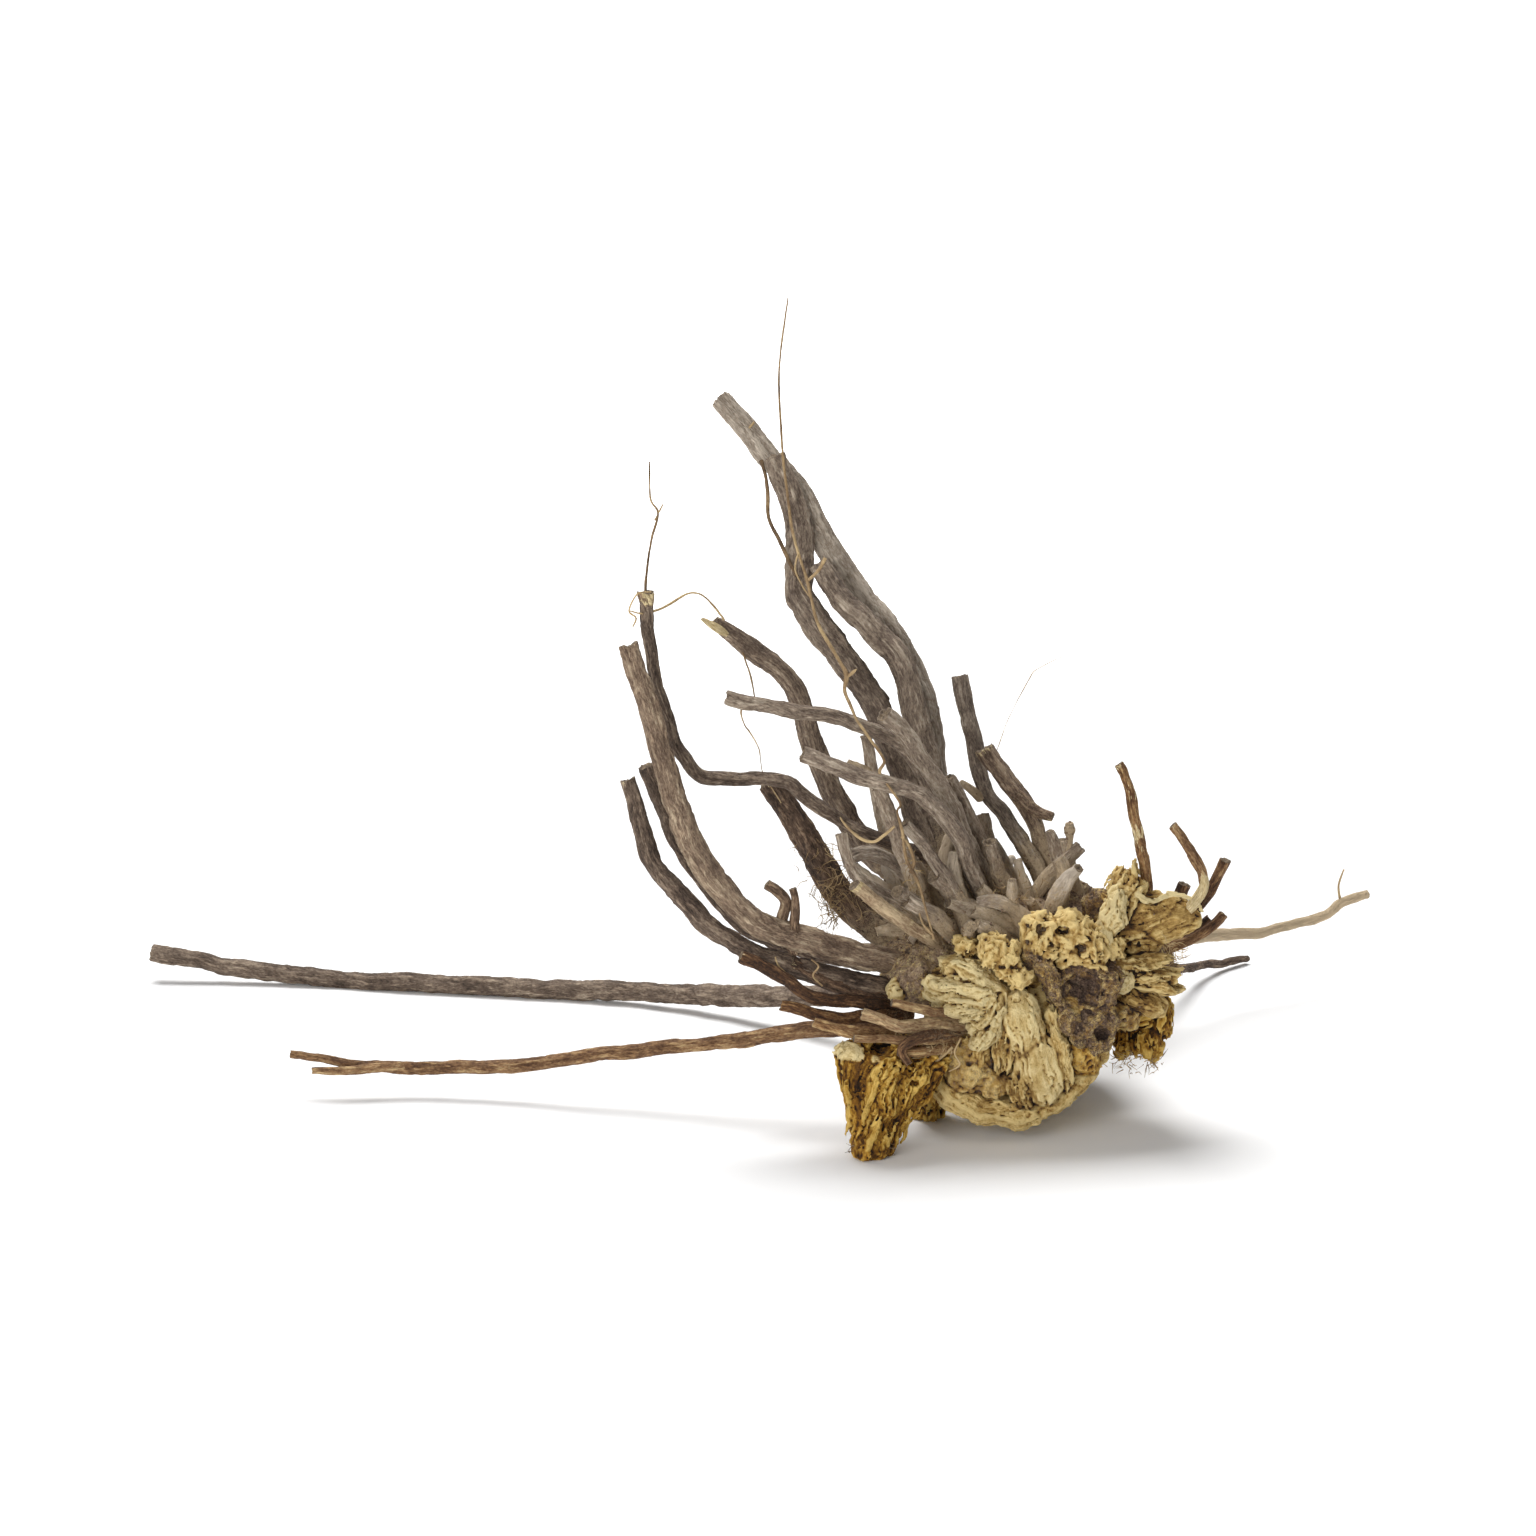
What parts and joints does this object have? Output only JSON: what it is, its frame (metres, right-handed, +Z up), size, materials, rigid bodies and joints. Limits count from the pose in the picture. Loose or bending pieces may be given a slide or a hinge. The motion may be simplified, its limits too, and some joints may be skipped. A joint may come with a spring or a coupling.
{
  "type": "clematis root",
  "caption": "Dried clematis root: a pale split woody crown that stands on its old stumps, with stiff brown roots sweeping up and to one side and fine rootlets.",
  "frame": {"origin": "middle of the footprint, on the surface that the root lies on", "axes": "+X to the right along the spread of the long roots, +Y from the crown's broken front towards the back, +Z up"},
  "size_m": [0.1509, 0.086, 0.093],
  "materials": {
    "root_bark": "dull wrinkled dry bark",
    "crown_wood": "dry split fibrous wood",
    "dry_soil": "dry crumbled earth"
  },
  "bodies": {
    "root": {"clematis_root": "root_bark"}
  },
  "joints": []
}
